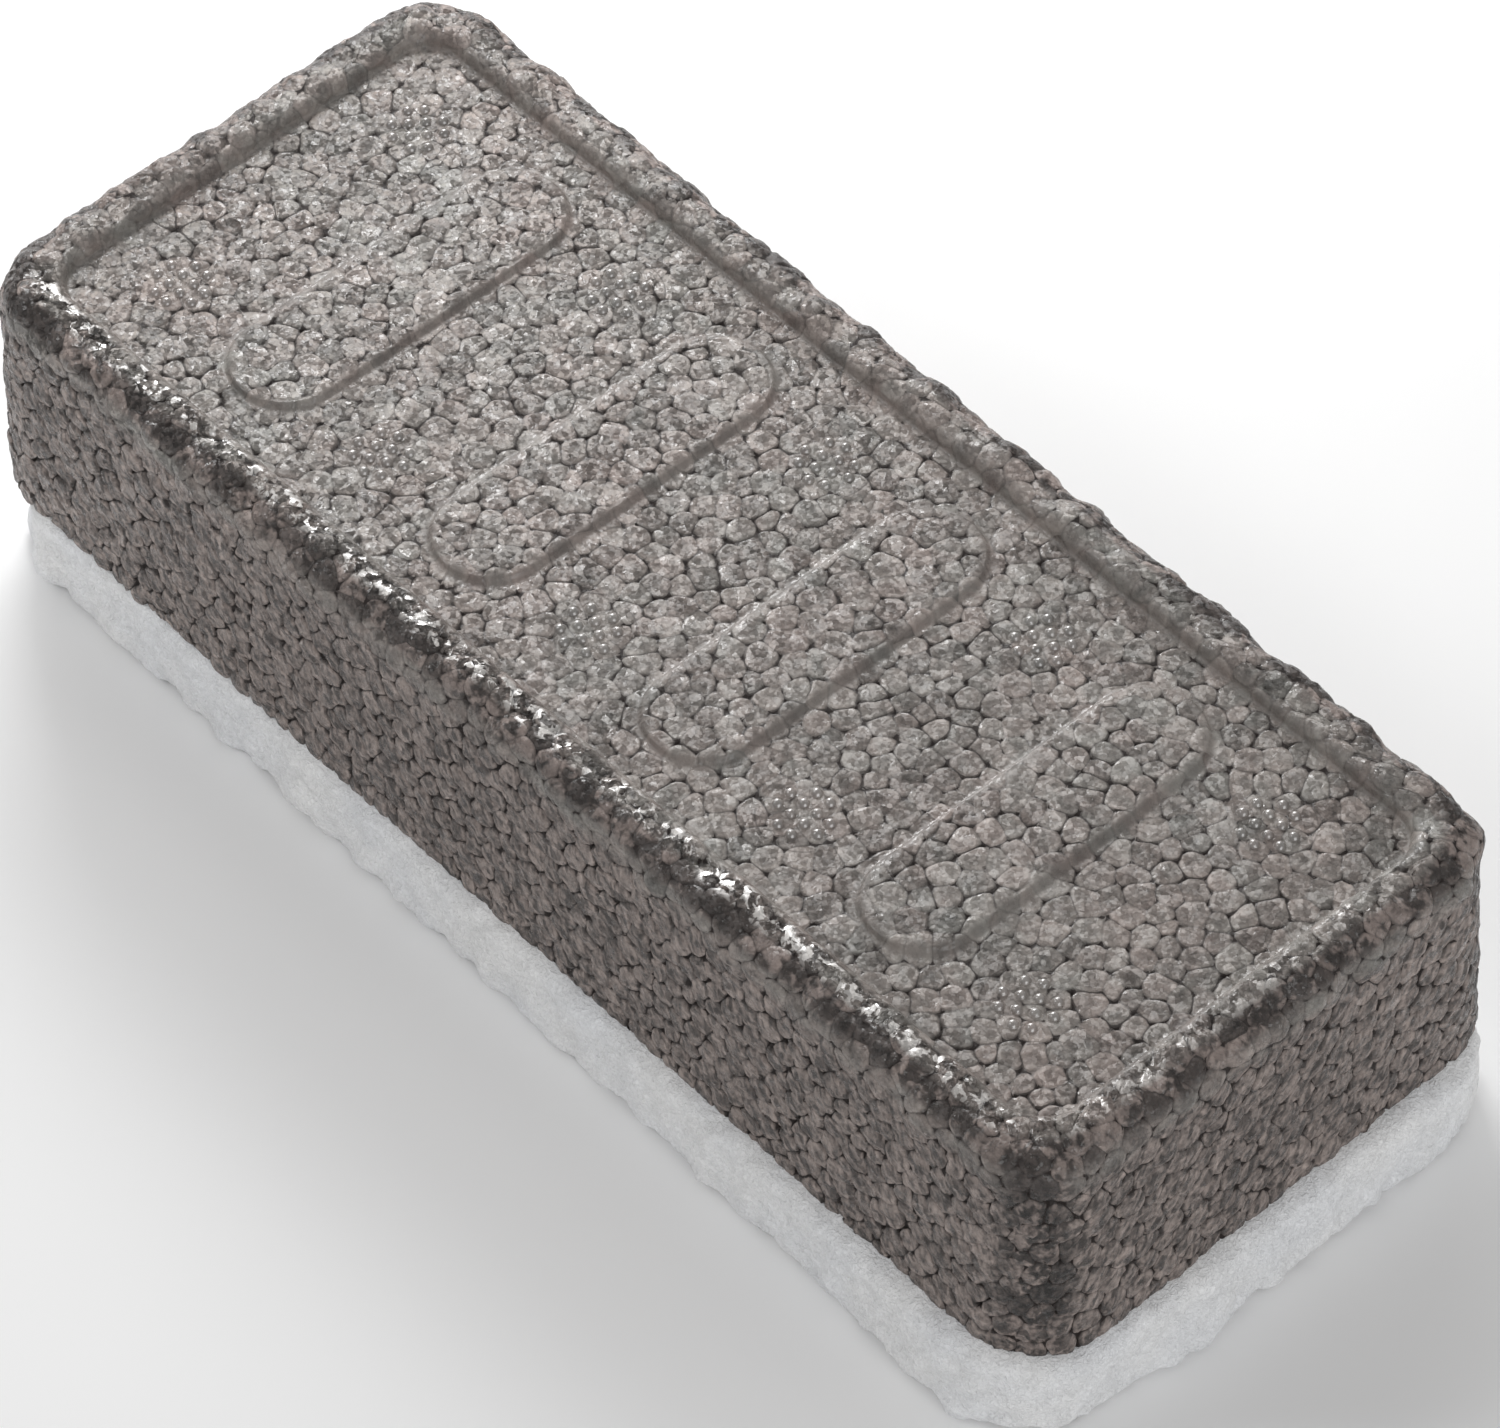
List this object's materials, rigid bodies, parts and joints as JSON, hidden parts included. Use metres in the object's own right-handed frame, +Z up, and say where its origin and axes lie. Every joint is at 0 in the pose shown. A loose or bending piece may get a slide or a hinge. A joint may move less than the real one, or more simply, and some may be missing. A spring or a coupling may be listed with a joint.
{
  "type": "dry-erase block eraser",
  "caption": "Hand-held block eraser for writing boards: a moulded bead-foam grip with a raised rim, bonded to a thick felt wiping pad.",
  "frame": {"origin": "middle of the felt pad's underside, the wiping face", "axes": "+X along the block's length, +Y across its width, +Z up from the wiping face through the top of the grip"},
  "size_m": [0.1306, 0.0536, 0.0317],
  "materials": {
    "bead_foam": "dark grey expanded-bead foam moulding, satin bead skins with fine crinkles",
    "hot_melt": "translucent cream hot-melt adhesive film",
    "felt": "thick white needle-punched felt, fuzzy cut edges"
  },
  "bodies": {
    "root": {"foam_body": "bead_foam", "adhesive_layer": "hot_melt", "felt_pad": "felt"}
  },
  "joints": []
}
